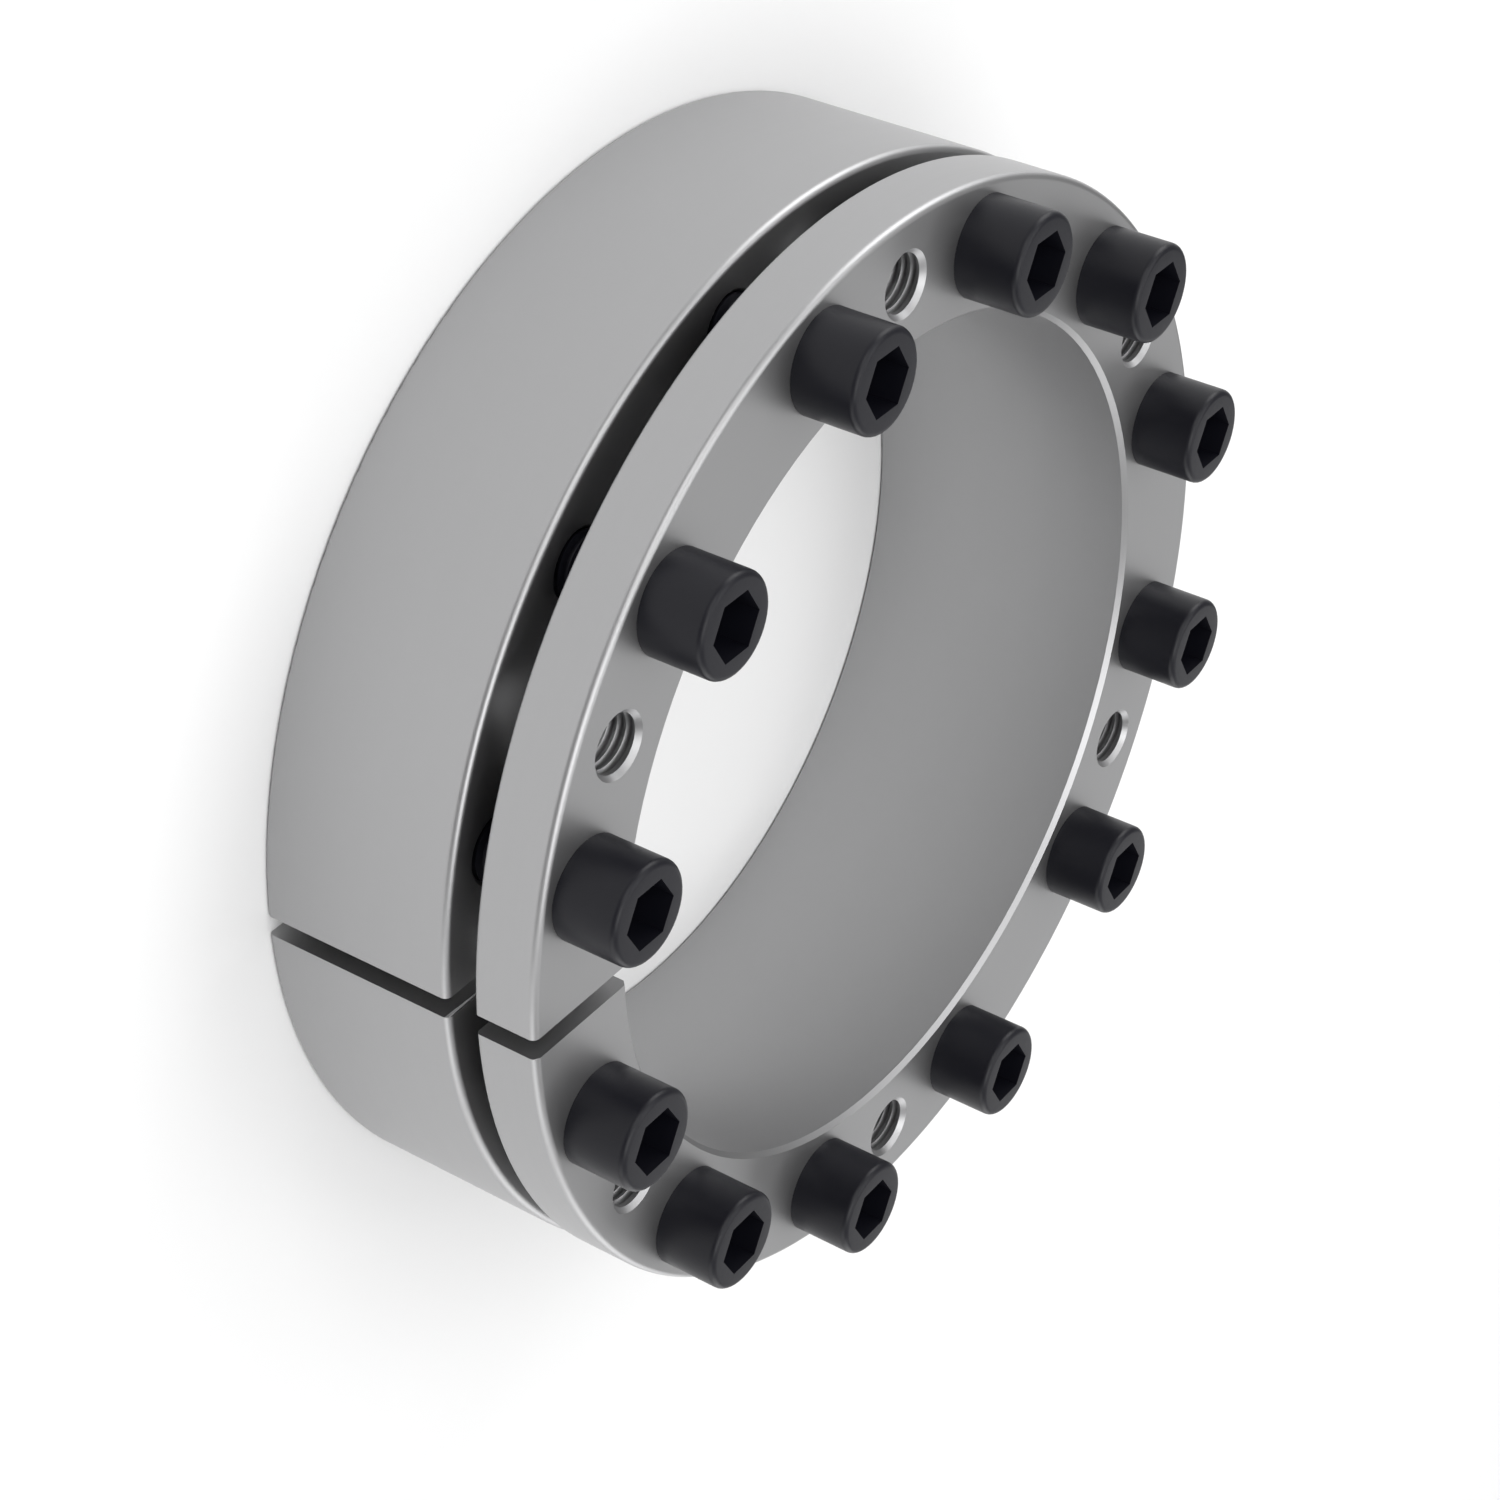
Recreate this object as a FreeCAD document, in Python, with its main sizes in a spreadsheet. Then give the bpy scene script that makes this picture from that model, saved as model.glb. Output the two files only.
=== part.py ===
import FreeCAD, Part
import math
import os
import Sketcher

# A flanged keyless shaft locking assembly that stands on the rear face of its
# outer ring. Z is its axis, the screw heads point up and the slits face -Y.
# A slit inner ring with an outside cone and a flange lies in a slit outer ring
# with an inside cone. Twelve screws through the flange draw the cones together,
# so that the inner ring closes on the shaft and the outer ring opens in the hub.

# Every size in millimetres, or in degrees for an angle
SIZES = {
    # The two rings: the bore, and how much thicker they are together
    "bore_diameter": 180.0,
    "ring_build": 27.5,
    "ring_width": 44.0,
    "flange_thickness": 14.0,
    "ring_gap": 6.5,
    "inner_recess": 0.5,
    "rear_wall": 2.6,
    "cone_half_angle": 3.0,
    "cone_clearance": 0.09,
    "slit_width": 4.5,
    # Edges of the rings
    "front_edge_radius": 1.5,
    "flange_back_radius": 1.0,
    "ring_back_radius": 1.2,
    "cone_mouth_radius": 0.5,
    "flange_root_radius": 0.8,
    "bore_chamfer": 1.0,
    "relief_length": 4.2,
    "relief_depth": 0.2,
    # The clamping screws, the steel between them and the bore, and their holes
    "screw_count": 12,
    "screw_wall": 7.0,
    "screw_length": 45.0,
    "thread_diameter": 14.0,
    "thread_pitch": 2.0,
    "thread_clearance": 0.05,
    "thread_mouth": 0.8,
    "thread_tip": 1.2,
    "passage_clearance": 0.5,
    "passage_mouth": 0.3,
    "head_diameter": 21.0,
    "head_height": 14.0,
    "head_edge_radius": 1.4,
    "socket_width": 12.0,
    "socket_depth": 7.0,
    "drill_half_angle": 60.0,
    # The tapped holes that push the flange off the outer ring
    "screws_per_jacking_hole": 2,
}

# Formulas in those sizes that several sketches share
BORE = "Sizes.bore_diameter / 2"
RIM = f"{BORE} + Sizes.ring_build"
CONE_RISE = "tan(Sizes.cone_half_angle * 1 deg)"
CONE_START = f"{BORE} + Sizes.rear_wall"
FLANGE_BACK = "Sizes.ring_width + Sizes.ring_gap"
FLANGE_FACE = f"{FLANGE_BACK} + Sizes.flange_thickness"
SCREW_CIRCLE = f"({BORE} + Sizes.screw_wall + Sizes.thread_diameter / 2)"
SCREW_STEP = "360 deg / Sizes.screw_count"

AXIS = "0"
TOUCH = 1e-4

# Where a sketch's lines are first drawn, before its constraints move them
FIRST_CENTRE = 20.0
FIRST_RADIUS = 10.0


def make_sheet(document):
    """The spreadsheet that holds the driving dimensions."""
    sheet = document.addObject("Spreadsheet::Sheet", "Sizes")
    for row, (alias, value) in enumerate(SIZES.items(), start=1):
        sheet.set(f"A{row}", alias.replace("_", " "))
        sheet.set(f"B{row}", str(value))
        sheet.setAlias(f"B{row}", alias)
    document.recompute()
    return sheet


def new_body(document, label):
    body = document.addObject("PartDesign::Body", label)
    body.Label = label
    body.Placement = FreeCAD.Placement()
    return body


def origin_part(body, role):
    """A plane or an axis of the body's own origin."""
    for feature in body.Origin.OriginFeatures:
        if feature.Role == role:
            return feature
    raise ValueError(role)


def new_sketch(body, name, plane, along="0", lift="0"):
    """A sketch on an origin plane, shifted along it and lifted off it."""
    sketch = body.newObject("Sketcher::SketchObject", name)
    sketch.AttachmentSupport = (origin_part(body, plane), [""])
    sketch.MapMode = "FlatFace"
    sketch.setExpression("AttachmentOffset.Base.x", along)
    sketch.setExpression("AttachmentOffset.Base.z", lift)
    return sketch


def bind(sketch, kind, ends, name, formula):
    """One dimension of a sketch, bound to a formula."""
    index = sketch.addConstraint(Sketcher.Constraint(kind, *ends, 1.0))
    sketch.renameConstraint(index, name)
    sketch.setExpression(f".Constraints.{name}", formula)


def first_point(turn):
    across = FIRST_CENTRE + FIRST_RADIUS * math.cos(turn)
    up = FIRST_CENTRE + FIRST_RADIUS * math.sin(turn)
    return FreeCAD.Vector(across, up, 0)


def draw_outline(sketch, corners):
    """A closed outline whose corners are pairs of formulas, radius and height.

    A side that keeps its radius or its height gets a vertical or a horizontal
    constraint, so that each dimension is given once.
    """
    count = len(corners)
    for index in range(count):
        turn = 2 * math.pi * index / count
        next_turn = 2 * math.pi * (index + 1) / count
        sketch.addGeometry(Part.LineSegment(first_point(turn), first_point(next_turn)), False)
    for index in range(count):
        sketch.addConstraint(Sketcher.Constraint("Coincident", index, 2, (index + 1) % count, 1))
    for index, (radius, height) in enumerate(corners):
        before = corners[index - 1] if index else (None, None)
        if radius == before[0]:
            sketch.addConstraint(Sketcher.Constraint("Vertical", index - 1))
        elif radius == AXIS:
            sketch.addConstraint(Sketcher.Constraint("PointOnObject", index, 1, -2))
        else:
            bind(sketch, "DistanceX", (-1, 1, index, 1), f"radius_{index}", radius)
        if height == before[1]:
            sketch.addConstraint(Sketcher.Constraint("Horizontal", index - 1))
        elif height == AXIS:
            sketch.addConstraint(Sketcher.Constraint("PointOnObject", index, 1, -1))
        else:
            bind(sketch, "DistanceY", (-1, 1, index, 1), f"height_{index}", height)


def revolve(body, name, corners, kind="PartDesign::Revolution", along="0", lift="0"):
    """A full turn of an outline round its own upright axis, added or cut away.

    The axis stands on the body's Z axis, or is shifted towards X and towards -Y.
    """
    sketch = new_sketch(body, f"{name}_outline", "XZ_Plane", along, lift)
    draw_outline(sketch, corners)
    turned = body.newObject(kind, name)
    turned.Profile = sketch
    turned.ReferenceAxis = (sketch, ["V_Axis"])
    turned.Angle = 360.0
    body.Document.recompute()
    return turned


def circle_edges(shape, radius, height):
    """Names of the round edges with this radius whose centres are at this height."""
    names = []
    for number, edge in enumerate(shape.Edges, start=1):
        curve = edge.Curve
        if not isinstance(curve, Part.Circle):
            continue
        if abs(curve.Radius - radius) < TOUCH and abs(curve.Center.z - height) < TOUCH:
            names.append(f"Edge{number}")
    return names


def soften(body, name, kind, places, formula):
    """A fillet or a chamfer on round edges, given as radius and height pairs."""
    base = body.Tip
    names = [edge for place in places for edge in circle_edges(base.Shape, *place)]
    edges = body.newObject(kind, name)
    edges.Base = (base, names)
    edges.setExpression("Radius" if kind.endswith("Fillet") else "Size", formula)
    body.Document.recompute()


def ring_of_holes(body, name, radius, mouth, bottom, top, first_step, steps):
    """Through holes with chamfered mouths on the screw circle.

    The first one stands first_step screw steps from the slit, and the others
    follow it a whole number of steps apart.
    """
    corners = [
        (AXIS, bottom),
        (f"{radius} + {mouth}", bottom),
        (radius, f"{bottom} + {mouth}"),
        (radius, f"{top} - {mouth}"),
        (f"{radius} + {mouth}", top),
        (AXIS, top),
    ]
    turn = f"{first_step} * {SCREW_STEP}"
    along = f"{SCREW_CIRCLE} * sin({turn})"
    lift = f"{SCREW_CIRCLE} * cos({turn})"
    hole = revolve(body, name, corners, "PartDesign::Groove", along, lift)
    pattern = body.newObject("PartDesign::PolarPattern", f"{name}_pattern")
    pattern.Originals = [hole]
    pattern.Axis = (origin_part(body, "Z_Axis"), [""])
    pattern.Mode = "Spacing"
    pattern.setExpression("Offset", f"{steps} * {SCREW_STEP}")
    pattern.setExpression("Occurrences", f"floor(Sizes.screw_count / ({steps}))")
    body.Tip = pattern
    body.Document.recompute()


def cut_slit(body):
    """The slit through one side of a ring, along its whole width."""
    sketch = new_sketch(body, "slit_place", "XY_Plane")
    sides = [(-1, 0), (-1, -1), (1, -1), (1, 0)]
    points = [FreeCAD.Vector(FIRST_RADIUS * side, FIRST_CENTRE * end, 0) for side, end in sides]
    for index in range(4):
        sketch.addGeometry(Part.LineSegment(points[index], points[(index + 1) % 4]), False)
    for index in range(4):
        sketch.addConstraint(Sketcher.Constraint("Coincident", index, 2, (index + 1) % 4, 1))
    sketch.addConstraint(Sketcher.Constraint("Vertical", 0))
    sketch.addConstraint(Sketcher.Constraint("Horizontal", 1))
    sketch.addConstraint(Sketcher.Constraint("Vertical", 2))
    sketch.addConstraint(Sketcher.Constraint("Symmetric", 0, 1, 2, 2, -1, 1))
    bind(sketch, "DistanceX", (1, 1, 1, 2), "width", "Sizes.slit_width")
    bind(sketch, "DistanceY", (0, 2, 0, 1), "reach", f"2 * ({RIM})")
    slit = body.newObject("PartDesign::Pocket", "slit")
    slit.Profile = sketch
    slit.Type = "ThroughAll"
    slit.Midplane = True
    body.Document.recompute()


def cone_radius(size, height):
    """The inner ring's outside radius at a height, as the formulas give it."""
    rise = math.tan(math.radians(size.cone_half_angle))
    return size.bore_diameter / 2 + size.rear_wall + (height - size.inner_recess) * rise


def build_outer_ring(document, size):
    """The ring that opens in the hub: an inside cone, and the tapped holes."""
    body = new_body(document, "outer_ring")
    start = f"{CONE_START} + Sizes.cone_clearance"
    revolve(body, "ring", [
        (f"{start} - Sizes.inner_recess * {CONE_RISE}", AXIS),
        (RIM, AXIS),
        (RIM, "Sizes.ring_width"),
        (f"{start} + (Sizes.ring_width - Sizes.inner_recess) * {CONE_RISE}", "Sizes.ring_width"),
    ])
    rim = size.bore_diameter / 2 + size.ring_build
    front = size.ring_width
    soften(body, "front_edge", "PartDesign::Fillet", [(rim, front)], "Sizes.front_edge_radius")
    soften(body, "back_edge", "PartDesign::Fillet", [(rim, 0)], "Sizes.ring_back_radius")
    mouths = [(cone_radius(size, end) + size.cone_clearance, end) for end in (0, front)]
    soften(body, "cone_mouths", "PartDesign::Fillet", mouths, "Sizes.cone_mouth_radius")
    tapped = "Sizes.thread_diameter / 2 + Sizes.thread_clearance"
    ring_of_holes(body, "tapped_hole", tapped, "Sizes.thread_mouth", AXIS, "Sizes.ring_width", "0.5", "1")
    cut_slit(body)
    return body


def build_inner_ring(document, size):
    """The ring that closes on the shaft: an outside cone, and the flange."""
    body = new_body(document, "inner_ring")
    revolve(body, "ring", [
        (f"{BORE} + Sizes.relief_depth", "Sizes.inner_recess"),
        (CONE_START, "Sizes.inner_recess"),
        (f"{CONE_START} + ({FLANGE_BACK} - Sizes.inner_recess) * {CONE_RISE}", FLANGE_BACK),
        (RIM, FLANGE_BACK),
        (RIM, FLANGE_FACE),
        (BORE, FLANGE_FACE),
        (BORE, "Sizes.inner_recess + Sizes.relief_length"),
    ])
    bore = size.bore_diameter / 2
    rim = bore + size.ring_build
    back = size.ring_width + size.ring_gap
    face = back + size.flange_thickness
    soften(body, "front_edge", "PartDesign::Fillet", [(rim, face)], "Sizes.front_edge_radius")
    soften(body, "back_edge", "PartDesign::Fillet", [(rim, back)], "Sizes.flange_back_radius")
    root = [(cone_radius(size, back), back)]
    soften(body, "flange_root", "PartDesign::Fillet", root, "Sizes.flange_root_radius")
    soften(body, "bore_mouth", "PartDesign::Chamfer", [(bore, face)], "Sizes.bore_chamfer")
    passage = "Sizes.thread_diameter / 2 + Sizes.passage_clearance"
    ring_of_holes(body, "screw_passage", passage, "Sizes.passage_mouth", FLANGE_BACK, FLANGE_FACE, "0.5", "1")
    core = "(Sizes.thread_diameter - Sizes.thread_pitch) / 2"
    crest = "Sizes.thread_pitch / 2"
    each = "Sizes.screws_per_jacking_hole"
    ring_of_holes(body, "jacking_hole", core, crest, FLANGE_BACK, FLANGE_FACE, f"{each} / 2", each)
    cut_slit(body)
    return body


def draw_hexagon(sketch, width):
    """A hexagon about the sketch's origin with a corner on its vertical axis."""
    corner = width / math.sqrt(3)
    points = []
    for index in range(6):
        turn = math.radians(90 + 60 * index)
        points.append(FreeCAD.Vector(corner * math.cos(turn), corner * math.sin(turn), 0))
    for index in range(6):
        sketch.addGeometry(Part.LineSegment(points[index], points[(index + 1) % 6]), False)
    outside = Part.Circle(FreeCAD.Vector(), FreeCAD.Vector(0, 0, 1), corner)
    circle = sketch.addGeometry(outside, True)
    sketch.addConstraint(Sketcher.Constraint("Coincident", circle, 3, -1, 1))
    for index in range(6):
        sketch.addConstraint(Sketcher.Constraint("Coincident", index, 2, (index + 1) % 6, 1))
        sketch.addConstraint(Sketcher.Constraint("PointOnObject", index, 1, circle))
    for index in range(1, 6):
        sketch.addConstraint(Sketcher.Constraint("Equal", 0, index))
    sketch.addConstraint(Sketcher.Constraint("PointOnObject", 0, 1, -2))
    bind(sketch, "Diameter", (circle,), "corners", "Sizes.socket_width / cos(30 deg)")


def build_screw(document, size, index):
    """A hexagon socket head cap screw, drawn from its tip up and set in its hole."""
    body = new_body(document, f"screw_{index + 1:02d}")
    shank = "Sizes.thread_diameter / 2"
    head = "Sizes.head_diameter / 2"
    top = "Sizes.screw_length + Sizes.head_height"
    revolve(body, "turned", [
        (AXIS, AXIS),
        (shank, AXIS),
        (shank, "Sizes.screw_length"),
        (head, "Sizes.screw_length"),
        (head, top),
        (AXIS, top),
    ])
    crown = [(size.head_diameter / 2, size.screw_length + size.head_height)]
    soften(body, "head_edge", "PartDesign::Fillet", crown, "Sizes.head_edge_radius")
    tip = [(size.thread_diameter / 2, 0)]
    soften(body, "thread_tip", "PartDesign::Chamfer", tip, "Sizes.thread_tip")
    sketch = new_sketch(body, "socket_place", "XY_Plane", lift=top)
    draw_hexagon(sketch, size.socket_width)
    socket = body.newObject("PartDesign::Pocket", "socket")
    socket.Profile = sketch
    socket.setExpression("Length", "Sizes.socket_depth")
    document.recompute()
    floor = f"{top} - Sizes.socket_depth"
    revolve(body, "socket_floor", [
        (AXIS, floor),
        ("Sizes.socket_width / 2", floor),
        (AXIS, f"{floor} - Sizes.socket_width / 2 / tan(Sizes.drill_half_angle * 1 deg)"),
    ], "PartDesign::Groove")
    turn = f"({index} + 0.5) * {SCREW_STEP}"
    body.setExpression("Placement.Base.x", f"{SCREW_CIRCLE} * sin({turn})")
    body.setExpression("Placement.Base.y", f"-{SCREW_CIRCLE} * cos({turn})")
    body.setExpression("Placement.Base.z", f"{FLANGE_FACE} - Sizes.screw_length")
    return body


def check(document, bodies):
    """Stops if an object failed, or a sub-part's shape isn't one valid solid."""
    for item in document.Objects:
        if "Invalid" in item.State or "Error" in item.State:
            raise RuntimeError(f"{item.Label}: {item.State}")
    for body in bodies:
        shape = body.Shape
        if shape.isNull() or not shape.isValid() or len(shape.Solids) != 1:
            raise RuntimeError(f"{body.Label}: not one valid solid")


document = FreeCAD.newDocument("shaft_locking_assembly")
sizes = make_sheet(document)
pieces = [build_outer_ring(document, sizes), build_inner_ring(document, sizes)]
for number in range(int(sizes.screw_count)):
    pieces.append(build_screw(document, sizes, number))
document.recompute()
check(document, pieces)
os.makedirs("parts", exist_ok=True)
for piece in pieces:
    piece.Shape.exportStep(f"parts/{piece.Label}.step")
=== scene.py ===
import math

import bmesh
import bpy
import numpy as np
from mathutils import Matrix, Vector


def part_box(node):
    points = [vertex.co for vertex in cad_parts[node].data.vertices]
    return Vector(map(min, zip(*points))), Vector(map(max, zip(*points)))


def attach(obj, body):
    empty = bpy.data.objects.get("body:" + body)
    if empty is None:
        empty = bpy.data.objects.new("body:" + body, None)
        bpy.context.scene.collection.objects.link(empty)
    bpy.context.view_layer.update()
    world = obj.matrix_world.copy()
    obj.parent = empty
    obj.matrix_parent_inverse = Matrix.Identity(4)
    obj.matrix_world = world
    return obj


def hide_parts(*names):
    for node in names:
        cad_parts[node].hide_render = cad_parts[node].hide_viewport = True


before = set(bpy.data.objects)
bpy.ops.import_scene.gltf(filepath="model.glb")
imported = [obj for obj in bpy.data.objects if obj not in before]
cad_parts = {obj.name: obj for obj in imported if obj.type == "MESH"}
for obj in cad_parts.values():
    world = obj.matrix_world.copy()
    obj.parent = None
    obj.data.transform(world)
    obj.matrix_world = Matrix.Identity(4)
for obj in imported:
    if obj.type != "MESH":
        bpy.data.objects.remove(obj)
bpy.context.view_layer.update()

# The two rings are turned from medium carbon steel and left bright. The lathe
# leaves fine marks round the axis: circles on the flat faces, level lines on
# the outside, the cones and the bore.
TURNED_STEEL_COLOUR = (0.41, 0.41, 0.415, 1.0)
TURNED_STEEL_ROUGHNESS = 0.37
LATHE_MARKS_PER_METRE = 2600.0
LATHE_BANDS_PER_METRE = 160.0
CLOUDS_PER_METRE = 18.0
MARKS_ROUGHNESS = 0.04
BANDS_ROUGHNESS = 0.03
CLOUDS_ROUGHNESS = 0.03
MARKS_BUMP = 0.05
MARKS_DEPTH = 0.00005


class Signal:
    """A socket of a material's node tree. Sums, products and powers add Math nodes."""

    def __init__(self, tree, socket=None):
        self.tree = tree
        self.socket = socket

    def node(self, kind, settings=None, inputs=None, output=0):
        """A new node of this kind, with its settings, then its sockets' values or links."""
        made = self.tree.nodes.new("ShaderNode" + kind)
        for name, value in (settings or {}).items():
            setattr(made, name, value)
        for name, value in (inputs or {}).items():
            if isinstance(value, Signal):
                self.tree.links.new(value.socket, made.inputs[name])
            else:
                made.inputs[name].default_value = value
        return Signal(self.tree, made.outputs[output])

    def maths(self, operation, *values):
        return self.node("Math", {"operation": operation}, dict(enumerate(values)))

    def __add__(self, other):
        return self.maths("ADD", self, other)

    def __mul__(self, other):
        return self.maths("MULTIPLY", self, other)

    def __pow__(self, other):
        return self.maths("POWER", self, other)

    __radd__ = __add__
    __rmul__ = __mul__


def new_material(name):
    """An empty material: its start signal and its one Principled shader."""
    material = bpy.data.materials.new(name)
    material.use_nodes = True
    tree = material.node_tree
    tree.nodes.clear()
    shader = tree.nodes.new("ShaderNodeBsdfPrincipled")
    end = tree.nodes.new("ShaderNodeOutputMaterial")
    tree.links.new(shader.outputs["BSDF"], end.inputs["Surface"])
    return material, Signal(tree), shader


def feed(signal, shader, socket):
    """Let a signal drive one of the shader's sockets."""
    signal.tree.links.new(signal.socket, shader.inputs[socket])


def noise(place, per_metre, detail):
    """Smooth noise, about a half on average, with this many waves to a metre."""
    return place.node("TexNoise", output="Fac", inputs={
        "Vector": place, "Scale": per_metre, "Detail": detail})


steel, start, shader = new_material("turned_steel")
place = start.node("TexCoord", output="Object")
across = place.node("SeparateXYZ", inputs={"Vector": place}, output="X")
along = place.node("SeparateXYZ", inputs={"Vector": place}, output="Y")
height = place.node("SeparateXYZ", inputs={"Vector": place}, output="Z")
radius = (across * across + along * along) ** 0.5
lathe_place = place.node("CombineXYZ", inputs={"X": radius, "Y": height, "Z": 0.0})
marks = noise(lathe_place, LATHE_MARKS_PER_METRE, detail=2.0)
bands = noise(lathe_place, LATHE_BANDS_PER_METRE, detail=2.0)
clouds = noise(place, CLOUDS_PER_METRE, detail=3.0)
roughness = (TURNED_STEEL_ROUGHNESS + marks * MARKS_ROUGHNESS
             + bands * BANDS_ROUGHNESS + clouds * CLOUDS_ROUGHNESS)
feed(roughness, shader, "Roughness")
bump = place.node("Bump", inputs={
    "Strength": MARKS_BUMP, "Distance": MARKS_DEPTH, "Height": marks})
feed(bump, shader, "Normal")
shader.inputs["Base Color"].default_value = TURNED_STEEL_COLOUR
shader.inputs["Metallic"].default_value = 1.0

# Each ring is turned from one piece of steel, rounded at its edges and slit. Screws
# moved into the flange's six tapped jacking holes push the rings apart. A ring here
# is its CAD solid with finer rims, true shading on the edges and those threads.

# Each rounding of an outer edge: its centre's radius, the centre's height, its size.
ROUNDED_EDGES = {
    "outer_ring": [(0.1160, 0.0425, 0.0015), (0.1163, 0.0012, 0.0012)],
    "inner_ring": [(0.1160, 0.0630, 0.0015), (0.1165, 0.0515, 0.0010)]}
RIM = 0.1175
LONGEST_CHORD = 0.0016
LONGEST_STEP = 0.0004
SLIT_REACH = 0.00226
SLIT_WALL_FACING = 0.9
OUTER_RING_INSIDE = 0.0958
FACET_RELIEF = 1.0003
SAME_POINT = 1e-7
ON_SURFACE = 2e-5
CRISP_EDGE = math.radians(25.0)
JACKING_CIRCLE = 0.104
JACKING_CORE = 0.006
JACKING_HOLES = 6
COLUMNS = 48
THREAD_PITCH = 0.002
THREAD_DEPTH = 0.00108
THREAD_INSET = 0.0001
WIDE_SHARE, NARROW_SHARE = 0.25, 0.125
CORNERS_PER_PITCH = 4

around = np.linspace(0.0, 2.0 * np.pi, COLUMNS, endpoint=False)


def thread(bottom, top, groove, land):
    """How deep a right-hand thread is cut, and how high, on a grid between two heights.

    Each row is one corner of the thread's profile and climbs a pitch in a turn,
    so that its end meets the row a pitch further up. Rows are cut off level at
    both heights. The groove's floor and the land are given as shares of a pitch.
    """
    flank = (1.0 - groove - land) / 2.0
    corners = np.cumsum([0.0, groove, flank, land]) * THREAD_PITCH
    turns = math.ceil((top - bottom) / THREAD_PITCH) + 2
    starts = bottom + THREAD_PITCH * np.arange(-1, turns - 1)
    rows = (starts[:, None] + corners).ravel()
    heights = rows[:, None] + THREAD_PITCH * around / (2.0 * np.pi)
    cuts = np.tile([THREAD_DEPTH, THREAD_DEPTH, 0.0, 0.0], turns)[:, None]
    return cuts, np.clip(heights, bottom, top)


def grid_points(x, y, radii, heights):
    """Points of a grid round an upright axis: each column is an azimuth."""
    grid = [x + radii * np.cos(around), y + radii * np.sin(around), heights]
    return np.stack(grid, axis=-1).reshape(-1, 3)


def grid_faces(rows, climb, first):
    """Quads of a grid closed round its columns, numbered from its first point.

    The last column joins the first one's rows this much further on.
    """
    row, column = np.mgrid[0:rows - 1, 0:COLUMNS]
    following = (column + 1) % COLUMNS
    lead = np.where(following == 0, climb, 0)
    near = row * COLUMNS + column
    far = (row + lead) * COLUMNS + following
    quads = np.stack([near, far, far + COLUMNS, near + COLUMNS], axis=-1)
    return first + quads[row + lead + 1 < rows]


def merge_points(solid):
    """Join the points that lie in the same place."""
    bmesh.ops.remove_doubles(solid, verts=solid.verts, dist=SAME_POINT)


def tap(solid, x, y):
    """Cut a thread into the wall of the jacking hole at this place.

    The plain wall between the chamfers goes. A threaded wall comes in its place,
    whose grooves fade out at both ends, and bands join it to the chamfers.
    """
    def on_wall(points):
        radii = [math.hypot(point.co.x - x, point.co.y - y) for point in points]
        return all(abs(radius - JACKING_CORE) < ON_SURFACE for radius in radii)

    wall = [face for face in solid.faces if on_wall(face.verts)]
    levels = [point.co.z for face in wall for point in face.verts]
    bottom, top = min(levels) + THREAD_INSET, max(levels) - THREAD_INSET
    bmesh.ops.delete(solid, geom=wall, context="FACES")
    cuts, heights = thread(bottom, top, NARROW_SHARE, WIDE_SHARE)
    radii = JACKING_CORE + np.minimum(cuts, np.minimum(top - heights, heights - bottom))
    faces = grid_faces(len(heights), CORNERS_PER_PITCH, 0)
    mesh = bpy.data.meshes.new("thread")
    mesh.from_pydata(grid_points(x, y, radii, heights), [], faces)
    solid.from_mesh(mesh)
    bpy.data.meshes.remove(mesh)
    merge_points(solid)
    middle = (bottom + top) / 2.0
    open_edges = [edge for edge in solid.edges if edge.is_boundary and on_wall(edge.verts)]
    for upper in (False, True):
        band = [edge for edge in open_edges if (edge.verts[0].co.z > middle) == upper]
        bmesh.ops.bridge_loops(solid, edges=band)


def add_piece(name, mesh, material):
    """A smooth object with crisp edges from a mesh."""
    mesh.shade_smooth()
    mesh.set_sharp_from_angle(angle=CRISP_EDGE)
    mesh.materials.clear()
    mesh.materials.append(material)
    piece = bpy.data.objects.new(name, mesh)
    bpy.context.scene.collection.objects.link(piece)
    return piece


def array_of(items, field, width=1, kind=float):
    """One field of a mesh's parts as an array with a row for each part."""
    values = np.empty(len(items) * width, kind)
    items.foreach_get(field, values)
    return values.reshape(-1, width) if width > 1 else values


def refine_rim(solid, upper, lower):
    """Halve the rim's chords and steps until they are short, with new points on the true rim.

    The rim is a cylinder between two roundings. On a rounding its radius is
    the centre circle's, plus the root of the rounding's radius squared less
    the square of the height above or below the centre.
    """
    def past_cylinder(height):
        return max(height - upper[1], lower[1] - height)

    def true_radius(height):
        past = past_cylinder(height)
        centre, _, size = upper if height > upper[1] else lower
        if past <= 0.0:
            return RIM
        return centre + math.sqrt(max(size ** 2 - past ** 2, 0.0))

    def is_long(edge):
        one, other = (point.co for point in edge.verts)
        if any(abs(end.xy.length - true_radius(end.z)) > ON_SURFACE for end in (one, other)):
            return False
        chord = (one.xy - other.xy).length
        step = math.hypot(one.xy.length - other.xy.length, one.z - other.z)
        on_rounding = past_cylinder((one.z + other.z) / 2.0) > 0.0
        return chord > LONGEST_CHORD or on_rounding and step > LONGEST_STEP

    long_edges = [edge for edge in solid.edges if is_long(edge)]
    while long_edges:
        made = bmesh.ops.subdivide_edges(solid, edges=long_edges, cuts=1)
        new_parts = made["geom_inner"]
        for point in {part for part in new_parts if isinstance(part, bmesh.types.BMVert)}:
            point.co.xy *= true_radius(point.co.z) / point.co.xy.length
        long_edges = [edge for edge in solid.edges if is_long(edge)]


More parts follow.
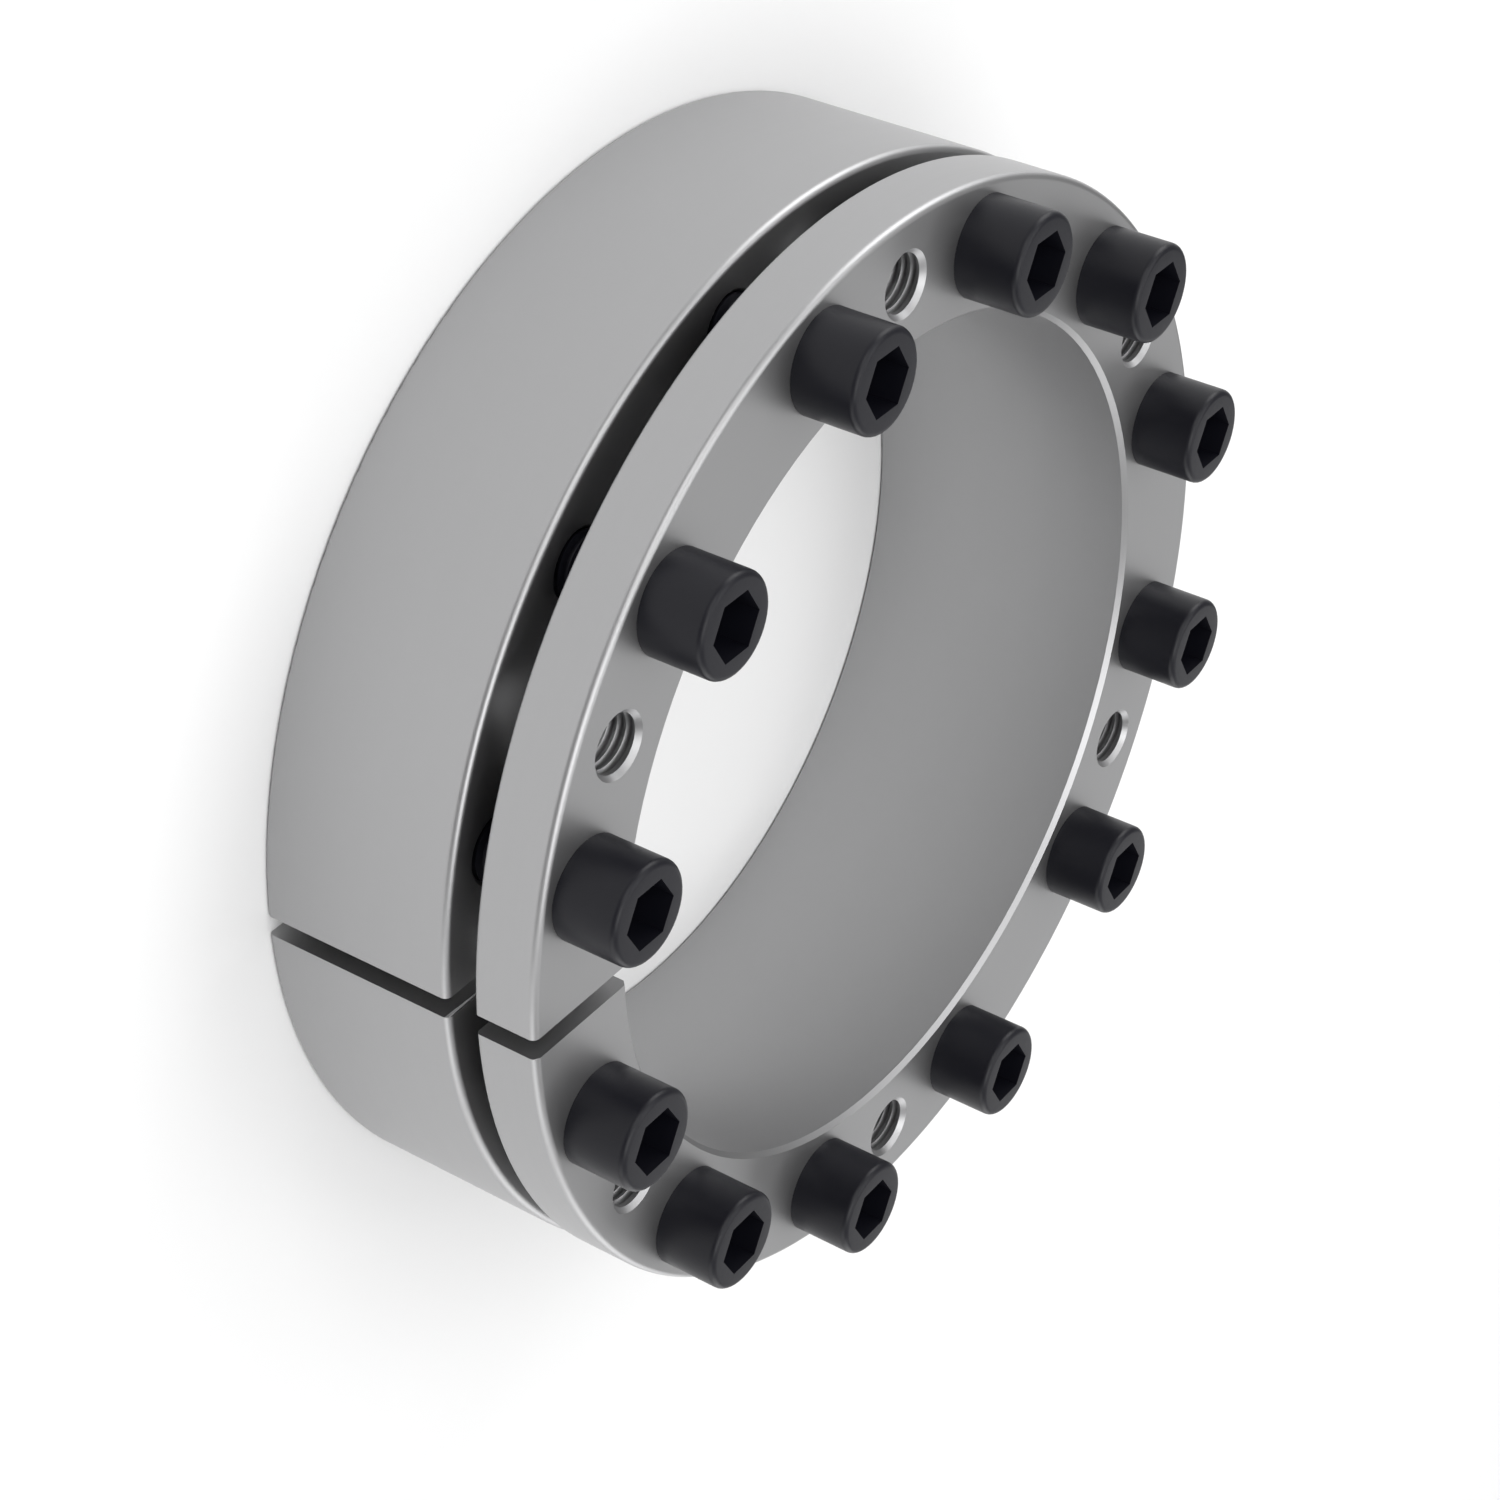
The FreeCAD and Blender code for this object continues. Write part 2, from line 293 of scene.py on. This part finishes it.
def round_edges(mesh, roundings):
    """Turn the shading straight out on the rim's cylinder and its roundings.

    On the cylinder that is away from the axis, and on a rounding away from the
    nearest point of its centre circle. The slit's own walls keep their shading.
    """
    corners = array_of(mesh.loops, "vertex_index", kind=np.int32)
    place = array_of(mesh.vertices, "co", 3)[corners]
    sides = array_of(mesh.polygons, "loop_total", kind=np.int32)
    facing = np.repeat(array_of(mesh.polygons, "normal", 3), sides, axis=0)
    shading = array_of(mesh.corner_normals, "vector", 3)
    distance = np.hypot(place[:, 0], place[:, 1])[:, None]
    outward = place * [1.0, 1.0, 0.0] / distance
    in_slit = (np.abs(place[:, 0]) < SLIT_REACH) & (np.abs(facing[:, 0]) > SLIT_WALL_FACING)
    on_cylinder = ~in_slit & (np.abs(distance[:, 0] - RIM) < ON_SURFACE)
    shading[on_cylinder] = outward[on_cylinder]
    for centre, height, size in roundings:
        above = (place - [0.0, 0.0, height]) * [0.0, 0.0, 1.0]
        away = outward * (distance - centre) + above
        on_rounding = ~in_slit & (np.abs(np.linalg.norm(away, axis=1) - size) < ON_SURFACE)
        shading[on_rounding] = away[on_rounding] / size
    mesh.normals_split_custom_set(shading.tolist())


for name, body in (("outer_ring", "outer"), ("inner_ring", "inner")):
    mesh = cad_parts[name].data.copy()
    mesh.name = f"{name}_turned"
    mesh.attributes.remove(mesh.attributes["custom_normal"])
    solid = bmesh.new()
    solid.from_mesh(mesh)
    merge_points(solid)
    refine_rim(solid, *ROUNDED_EDGES[name])
    if name == "outer_ring":
        # 0.03 mm wider inside, which keeps its facets clear of the inner ring's cone
        for point in solid.verts:
            if point.co.xy.length < OUTER_RING_INSIDE:
                point.co.xy *= FACET_RELIEF
    else:
        for turn in np.arange(JACKING_HOLES) * 2.0 * np.pi / JACKING_HOLES:
            tap(solid, JACKING_CIRCLE * math.cos(turn), JACKING_CIRCLE * math.sin(turn))
        bmesh.ops.recalc_face_normals(solid, faces=solid.faces)
        if solid.calc_volume(signed=True) < 0.0:
            bmesh.ops.reverse_faces(solid, faces=solid.faces)
    solid.to_mesh(mesh)
    solid.free()
    ring = add_piece(f"{name}_turned", mesh, steel)
    round_edges(mesh, ROUNDED_EDGES[name])
    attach(ring, body)
    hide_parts(name)

# The screws are M14 hexagon socket head cap screws, cold headed, with rolled
# right-hand threads and a black oxide finish. Each of these replaces the CAD
# solid of its screw, which has the same size but a plain shank.
THREAD_CREST = 0.007
THREAD_TIP_CHAMFER = 0.0012
THREAD_LENGTH = 0.040
HEAD_HEIGHT = 0.014
HEAD_EDGE_RADIUS = 0.0014
HEAD_EDGE_POINTS = 9
SOCKET_WIDTH = 0.012
SOCKET_DEPTH = 0.007
DRILL_HALF_ANGLE = math.radians(60.0)
BLACK_OXIDE_COLOUR = (0.0052, 0.0052, 0.0090, 1.0)
BLACK_OXIDE_ROUGHNESS = 0.36
BLACK_OXIDE_REFLECTION = 0.30
GRAIN_PER_METRE = 900.0
GRAIN_ROUGHNESS = 0.08


def turned(profile):
    """Radii and heights of a lathe profile: each point gives one level row."""
    radii, heights = np.array(profile).T
    level = np.ones(COLUMNS)
    return radii[:, None] * level, heights[:, None] * level


def screw_thread(tip, top):
    """Radii and heights of the screw's thread.

    Its radius is the crest's less the cut. It is held within the tip's chamfer
    below, and the cut shrinks to nothing where the thread meets the shank above.
    """
    cuts, heights = thread(tip, top, WIDE_SHARE, NARROW_SHARE)
    radii = THREAD_CREST - np.minimum(cuts, top - heights)
    return np.minimum(radii, THREAD_CREST - THREAD_TIP_CHAMFER + heights - tip), heights


def hexagon(width, height):
    """One level row on a hexagon with flats towards X: half its width over a cosine."""
    from_flat = (around + np.pi / 6.0) % (np.pi / 3.0) - np.pi / 6.0
    return (width / 2.0 / np.cos(from_flat))[None, :], np.full((1, COLUMNS), height)


def add_grids(name, points, faces, material):
    """A smooth piece from several grids' points and faces, its doubled points merged."""
    mesh = bpy.data.meshes.new(name)
    mesh.from_pydata(np.concatenate(points), [], np.concatenate(faces))
    solid = bmesh.new()
    solid.from_mesh(mesh)
    merge_points(solid)
    solid.to_mesh(mesh)
    solid.free()
    return add_piece(name, mesh, material)


def screw_parts(tip, crown, head_radius):
    """The screw's grids from the tip's centre up, over the head and into the socket.

    The head's edge is a quarter circle, and the socket ends in a drill's cone.
    """
    under = crown - HEAD_HEIGHT
    thread_end = tip + THREAD_LENGTH
    edge = np.linspace(0.0, np.pi / 2.0, HEAD_EDGE_POINTS)
    rounding = [(head_radius - HEAD_EDGE_RADIUS * (1.0 - math.cos(turn)),
                 crown - HEAD_EDGE_RADIUS * (1.0 - math.sin(turn))) for turn in edge]
    shank = [(THREAD_CREST, thread_end), (THREAD_CREST, under)]
    socket_floor = crown - SOCKET_DEPTH
    drill_point = socket_floor - SOCKET_WIDTH / 2.0 / math.tan(DRILL_HALF_ANGLE)
    upper = [turned([*shank, (head_radius, under), *rounding]),
             hexagon(SOCKET_WIDTH, crown), hexagon(SOCKET_WIDTH, socket_floor),
             turned([(SOCKET_WIDTH / 2.0, socket_floor), (0.0, drill_point)])]
    return [(turned([(0.0, tip), (THREAD_CREST - THREAD_TIP_CHAMFER, tip)]), 0),
            (screw_thread(tip, thread_end), CORNERS_PER_PITCH),
            ([np.concatenate(rows) for rows in zip(*upper)], 0)]


black, start, shader = new_material("black_oxide")
place = start.node("TexCoord", output="Object")
grain = noise(place, GRAIN_PER_METRE, detail=3.0)
feed(BLACK_OXIDE_ROUGHNESS + grain * GRAIN_ROUGHNESS, shader, "Roughness")
shader.inputs["Base Color"].default_value = BLACK_OXIDE_COLOUR
shader.inputs["Specular IOR Level"].default_value = BLACK_OXIDE_REFLECTION
screws = [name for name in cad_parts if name.startswith("screw")]
for name in screws:
    low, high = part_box(name)
    middle = (low + high) / 2.0
    points, faces, first = [], [], 0
    for (radii, heights), climb in screw_parts(low.z, high.z, (high.x - low.x) / 2.0):
        points.append(grid_points(middle.x, middle.y, radii, heights))
        faces.append(grid_faces(len(radii), climb, first))
        first += radii.size
    screw = add_grids(f"{name}_threaded", points, faces, black)
    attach(screw, name)
    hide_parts(name)

# Each screw runs in a tapped hole of the outer ring's steel. This is the thread that
# the tap leaves standing between its cuts, with a little clearance from the screw's.
# It shows behind the screw's tip from the rear.
RIDGE_CLEARANCE = 0.00005
RIDGE_STEPS = 32
RIDGE_TURNS = 12
RIDGE_FIRST = 0.0012
GROWTH_TURNS = 0.25
FLANK_ANGLE = math.radians(30.0)
HOLE_WALL = 0.00707


def ridge(middle, tip):
    """Points of a ridge in a hole: a trapezoid that climbs a pitch in a turn.

    It grows out of the wall over its first quarter turn, sinks back over its
    last, and lies in the middle of the screw's groove.
    """
    crest = THREAD_CREST - THREAD_DEPTH + RIDGE_CLEARANCE
    crest_half = THREAD_PITCH * WIDE_SHARE / 2.0 - RIDGE_CLEARANCE
    base_half = crest_half + (HOLE_WALL - crest) * math.tan(FLANK_ANGLE)
    turn = np.linspace(0.0, RIDGE_TURNS, RIDGE_TURNS * RIDGE_STEPS + 1)[:, None]
    growth = np.clip(np.minimum(turn, RIDGE_TURNS - turn) / GROWTH_TURNS, 0.0, 1.0)
    radii = HOLE_WALL - growth * (HOLE_WALL - np.array([HOLE_WALL, crest, crest, HOLE_WALL]))
    groove = tip + THREAD_PITCH * WIDE_SHARE / 2.0
    groove -= THREAD_PITCH * math.floor((groove - RIDGE_FIRST) / THREAD_PITCH)
    sides = growth * np.array([-base_half, -crest_half, crest_half, base_half])
    heights = groove + THREAD_PITCH * turn + sides
    swing = 2.0 * np.pi * turn
    across, along = middle.x + radii * np.cos(swing), middle.y + radii * np.sin(swing)
    return np.stack([across, along, heights], axis=-1)


def ridge_faces(sections, first):
    """Quads round the ridge's four-cornered section, along its whole length."""
    section, corner = np.mgrid[0:sections - 1, 0:4]
    near = section * 4 + corner
    far = section * 4 + (corner + 1) % 4
    return first + np.stack([near, far, far + 4, near + 4], axis=-1).reshape(-1, 4)


points, faces, first = [], [], 0
for name in screws:
    low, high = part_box(name)
    grid = ridge((low + high) / 2.0, low.z)
    points.append(grid.reshape(-1, 3))
    faces.append(ridge_faces(len(grid), first))
    first += grid.shape[0] * grid.shape[1]
threads = add_grids("tapped_threads", points, faces, steel)
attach(threads, "outer")

# The assembly stands on its rear face on a plain white table, which reaches far past
# the lights, so that low views show no edge. The table is stage and no part.
FLOOR_HALF = 12.0
TABLE_COLOUR = (0.83, 0.83, 0.83, 1.0)
TABLE_ROUGHNESS = 0.9
floor_mesh = bpy.data.meshes.new("table")
floor_mesh.from_pydata(
    [(-FLOOR_HALF, -FLOOR_HALF, 0), (FLOOR_HALF, -FLOOR_HALF, 0),
     (FLOOR_HALF, FLOOR_HALF, 0), (-FLOOR_HALF, FLOOR_HALF, 0)], [], [(0, 1, 2, 3)])
table = bpy.data.objects.new("table", floor_mesh)
bpy.context.scene.collection.objects.link(table)
white, start, shader = new_material("table_white")
shader.inputs["Base Color"].default_value = TABLE_COLOUR
shader.inputs["Roughness"].default_value = TABLE_ROUGHNESS
table.data.materials.append(white)

# Eight large soft lights stand all round, each aimed at the middle of the assembly.
# The two keys shine from the picture's top. A pale room fills the shadows.
AIM = Vector((0.0, 0.0, 0.03))
LIGHT_DISTANCE = 3.3
LIGHT_SIDE = 2.1
ROOM_COLOUR = (1.0, 1.0, 1.0, 1.0)
ROOM_STRENGTH = 0.25


def outward_from_middle(azimuth, elevation):
    """The direction at this azimuth from X towards Y, and this far above the level."""
    turn, lift = math.radians(azimuth), math.radians(elevation)
    reach = math.cos(lift)
    return Vector((math.cos(turn) * reach, math.sin(turn) * reach, math.sin(lift)))


def soft_light(name, azimuth, elevation, watts):
    """A square area light on a sphere round the assembly, facing its middle."""
    direction = outward_from_middle(azimuth, elevation)
    light = bpy.data.lights.new(name, "AREA")
    light.shape = "SQUARE"
    light.size = LIGHT_SIDE
    light.energy = watts
    lamp = bpy.data.objects.new(name, light)
    lamp.location = AIM + direction * LIGHT_DISTANCE
    lamp.rotation_euler = direction.to_track_quat("Z", "Y").to_euler()
    bpy.context.scene.collection.objects.link(lamp)


soft_light("key_low", 135, 15, 52.0)
soft_light("key_high", 135, 65, 27.0)
soft_light("side_high", 270, 65, 45.0)
soft_light("camera_side", 202, 40, 32.0)
soft_light("far_high", 45, 65, 18.0)
soft_light("far_low", 45, 15, 9.0)
soft_light("right_low", 0, 15, 27.0)
soft_light("slit_low", 315, 15, 25.0)
world = bpy.data.worlds.new("studio")
world.use_nodes = True
room = world.node_tree.nodes["Background"].inputs
room["Color"].default_value = ROOM_COLOUR
room["Strength"].default_value = ROOM_STRENGTH
bpy.context.scene.world = world
bpy.context.scene.view_settings.view_transform = "Standard"

# The camera looks across the flange from 28 degrees above it. It is turned on its
# side, because the photograph shows the assembly standing on its rim.
CAMERA_AZIMUTH = 228.32
CAMERA_ELEVATION = 28.41
CAMERA_ROLL = -112.42
CAMERA_DISTANCE = 0.7300
CAMERA_TARGET = Vector((0.0080, -0.0104, 0.0354))
CAMERA_LENS = 85.26
CAMERA_SENSOR = 36.0
backward = outward_from_middle(CAMERA_AZIMUTH, CAMERA_ELEVATION)
level = Vector((0.0, 0.0, 1.0)).cross(backward).normalized()
upward = backward.cross(level)
tilt = Matrix.Rotation(math.radians(-CAMERA_ROLL), 3, backward)
right, up = tilt @ level, tilt @ upward
camera_data = bpy.data.cameras.new("camera")
camera_data.lens = CAMERA_LENS
camera_data.sensor_width = CAMERA_SENSOR
camera = bpy.data.objects.new("camera", camera_data)
axes = Matrix((right, up, backward)).transposed().to_4x4()
camera.matrix_world = Matrix.Translation(CAMERA_TARGET + backward * CAMERA_DISTANCE) @ axes
bpy.context.scene.collection.objects.link(camera)
bpy.context.scene.camera = camera

bpy.context.view_layer.update()
